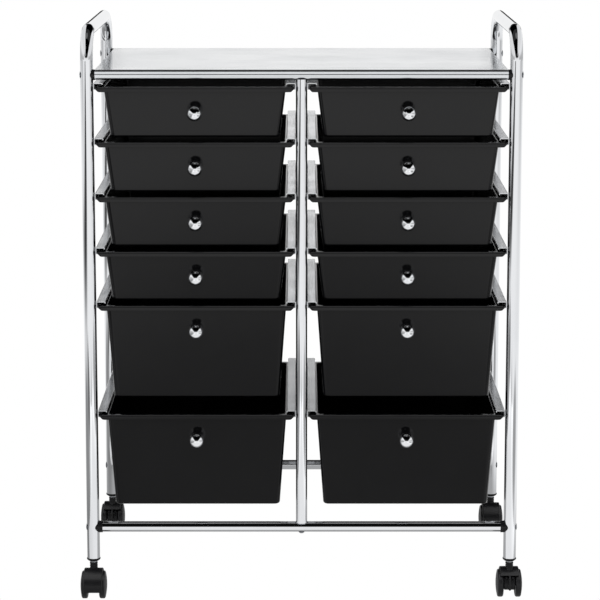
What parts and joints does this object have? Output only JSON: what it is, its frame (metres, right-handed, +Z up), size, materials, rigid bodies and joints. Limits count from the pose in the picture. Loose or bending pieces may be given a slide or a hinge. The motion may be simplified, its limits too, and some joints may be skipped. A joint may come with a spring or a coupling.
{
  "type": "rolling drawer cart",
  "caption": "Rolling storage cart: chrome tube frame holding columns of black pull-out drawers on steel rails, arched side handles, a polished sheet top and twin-wheel swivel casters.",
  "frame": {"origin": "on the floor, below the middle of the cart", "axes": "+Z up, front faces -Y, +X to the right seen from the front"},
  "size_m": [0.6348, 0.406, 0.822],
  "materials": {
    "chrome_tube": "bright chrome plating on drawn steel tube",
    "chrome_knob": "bright chrome plating",
    "polished_sheet": "polished sheet steel, faintly brushed",
    "rail_steel": "bright plated sheet steel",
    "zinc_steel": "zinc-plated steel",
    "drawer_plastic": "glossy black polypropylene",
    "black_nylon": "satin black nylon",
    "wheel_plastic": "satin black hard plastic tread"
  },
  "bodies": {
    "frame": {"side_tube_left": "chrome_tube", "side_tube_right": "chrome_tube", "centre_post_front": "chrome_tube", "centre_post_rear": "chrome_tube", "centre_post_plugs": "black_nylon", "crossbar_front": "chrome_tube", "crossbar_rear": "chrome_tube", "crossbar_saddles": "black_nylon", "top_shelf": "polished_sheet", "shelf_saddles": "black_nylon", "rails_left_outer": "rail_steel", "rails_left_inner": "rail_steel", "rails_right_inner": "rail_steel", "rails_right_outer": "rail_steel", "rail_rivets": "zinc_steel", "side_screws": "zinc_steel", "centre_screws": "zinc_steel", "leg_sockets": "black_nylon", "caster_stems": "zinc_steel"},
    "drawer_left_1": {"drawer_left_1": "drawer_plastic", "knob_left_1": "chrome_knob"},
    "drawer_left_2": {"drawer_left_2": "drawer_plastic", "knob_left_2": "chrome_knob"},
    "drawer_left_3": {"drawer_left_3": "drawer_plastic", "knob_left_3": "chrome_knob"},
    "drawer_left_4": {"drawer_left_4": "drawer_plastic", "knob_left_4": "chrome_knob"},
    "drawer_left_5": {"drawer_left_5": "drawer_plastic", "knob_left_5": "chrome_knob"},
    "drawer_left_6": {"drawer_left_6": "drawer_plastic", "knob_left_6": "chrome_knob"},
    "drawer_right_1": {"drawer_right_1": "drawer_plastic", "knob_right_1": "chrome_knob"},
    "drawer_right_2": {"drawer_right_2": "drawer_plastic", "knob_right_2": "chrome_knob"},
    "drawer_right_3": {"drawer_right_3": "drawer_plastic", "knob_right_3": "chrome_knob"},
    "drawer_right_4": {"drawer_right_4": "drawer_plastic", "knob_right_4": "chrome_knob"},
    "drawer_right_5": {"drawer_right_5": "drawer_plastic", "knob_right_5": "chrome_knob"},
    "drawer_right_6": {"drawer_right_6": "drawer_plastic", "knob_right_6": "chrome_knob"},
    "caster_front_left": {"caster_hood_front_left": "black_nylon", "caster_axle_front_left": "zinc_steel"},
    "wheel_front_left_left": {"caster_wheel_front_left_left": "wheel_plastic"},
    "wheel_front_left_right": {"caster_wheel_front_left_right": "wheel_plastic"},
    "caster_front_right": {"caster_hood_front_right": "black_nylon", "caster_axle_front_right": "zinc_steel"},
    "wheel_front_right_left": {"caster_wheel_front_right_left": "wheel_plastic"},
    "wheel_front_right_right": {"caster_wheel_front_right_right": "wheel_plastic"},
    "caster_rear_left": {"caster_hood_rear_left": "black_nylon", "caster_axle_rear_left": "zinc_steel"},
    "wheel_rear_left_left": {"caster_wheel_rear_left_left": "wheel_plastic"},
    "wheel_rear_left_right": {"caster_wheel_rear_left_right": "wheel_plastic"},
    "caster_rear_right": {"caster_hood_rear_right": "black_nylon", "caster_axle_rear_right": "zinc_steel"},
    "wheel_rear_right_left": {"caster_wheel_rear_right_left": "wheel_plastic"},
    "wheel_rear_right_right": {"caster_wheel_rear_right_right": "wheel_plastic"}
  },
  "joints": [
    {"name": "slide_left_1", "type": "slide", "parent": "frame", "child": "drawer_left_1", "axis": [0, -1, 0], "range_m": [0, 0.26]},
    {"name": "slide_left_2", "type": "slide", "parent": "frame", "child": "drawer_left_2", "axis": [0, -1, 0], "range_m": [0, 0.26]},
    {"name": "slide_left_3", "type": "slide", "parent": "frame", "child": "drawer_left_3", "axis": [0, -1, 0], "range_m": [0, 0.26]},
    {"name": "slide_left_4", "type": "slide", "parent": "frame", "child": "drawer_left_4", "axis": [0, -1, 0], "range_m": [0, 0.26]},
    {"name": "slide_left_5", "type": "slide", "parent": "frame", "child": "drawer_left_5", "axis": [0, -1, 0], "range_m": [0, 0.26]},
    {"name": "slide_left_6", "type": "slide", "parent": "frame", "child": "drawer_left_6", "axis": [0, -1, 0], "range_m": [0, 0.26]},
    {"name": "slide_right_1", "type": "slide", "parent": "frame", "child": "drawer_right_1", "axis": [0, -1, 0], "range_m": [0, 0.26]},
    {"name": "slide_right_2", "type": "slide", "parent": "frame", "child": "drawer_right_2", "axis": [0, -1, 0], "range_m": [0, 0.26]},
    {"name": "slide_right_3", "type": "slide", "parent": "frame", "child": "drawer_right_3", "axis": [0, -1, 0], "range_m": [0, 0.26]},
    {"name": "slide_right_4", "type": "slide", "parent": "frame", "child": "drawer_right_4", "axis": [0, -1, 0], "range_m": [0, 0.26]},
    {"name": "slide_right_5", "type": "slide", "parent": "frame", "child": "drawer_right_5", "axis": [0, -1, 0], "range_m": [0, 0.26]},
    {"name": "slide_right_6", "type": "slide", "parent": "frame", "child": "drawer_right_6", "axis": [0, -1, 0], "range_m": [0, 0.26]},
    {"name": "swivel_front_left", "type": "hinge", "parent": "frame", "child": "caster_front_left", "pos_m": [-0.2985, -0.175, 0.04], "axis": [0, 0, 1], "continuous": true},
    {"name": "spin_front_left_left", "type": "hinge", "parent": "caster_front_left", "child": "wheel_front_left_left", "pos_m": [-0.2985, -0.179, 0.02], "axis": [1, 0, 0], "continuous": true},
    {"name": "spin_front_left_right", "type": "hinge", "parent": "caster_front_left", "child": "wheel_front_left_right", "pos_m": [-0.2985, -0.179, 0.02], "axis": [1, 0, 0], "continuous": true},
    {"name": "swivel_front_right", "type": "hinge", "parent": "frame", "child": "caster_front_right", "pos_m": [0.2985, -0.175, 0.04], "axis": [0, 0, 1], "continuous": true},
    {"name": "spin_front_right_left", "type": "hinge", "parent": "caster_front_right", "child": "wheel_front_right_left", "pos_m": [0.2985, -0.171, 0.02], "axis": [1, 0, 0], "continuous": true},
    {"name": "spin_front_right_right", "type": "hinge", "parent": "caster_front_right", "child": "wheel_front_right_right", "pos_m": [0.2985, -0.171, 0.02], "axis": [1, 0, 0], "continuous": true},
    {"name": "swivel_rear_left", "type": "hinge", "parent": "frame", "child": "caster_rear_left", "pos_m": [-0.2985, 0.175, 0.04], "axis": [0, 0, 1], "continuous": true},
    {"name": "spin_rear_left_left", "type": "hinge", "parent": "caster_rear_left", "child": "wheel_rear_left_left", "pos_m": [-0.2985, 0.179, 0.02], "axis": [1, 0, 0], "continuous": true},
    {"name": "spin_rear_left_right", "type": "hinge", "parent": "caster_rear_left", "child": "wheel_rear_left_right", "pos_m": [-0.2985, 0.179, 0.02], "axis": [1, 0, 0], "continuous": true},
    {"name": "swivel_rear_right", "type": "hinge", "parent": "frame", "child": "caster_rear_right", "pos_m": [0.2985, 0.175, 0.04], "axis": [0, 0, 1], "continuous": true},
    {"name": "spin_rear_right_left", "type": "hinge", "parent": "caster_rear_right", "child": "wheel_rear_right_left", "pos_m": [0.2985, 0.171, 0.02], "axis": [1, 0, 0], "continuous": true},
    {"name": "spin_rear_right_right", "type": "hinge", "parent": "caster_rear_right", "child": "wheel_rear_right_right", "pos_m": [0.2985, 0.171, 0.02], "axis": [1, 0, 0], "continuous": true}
  ]
}
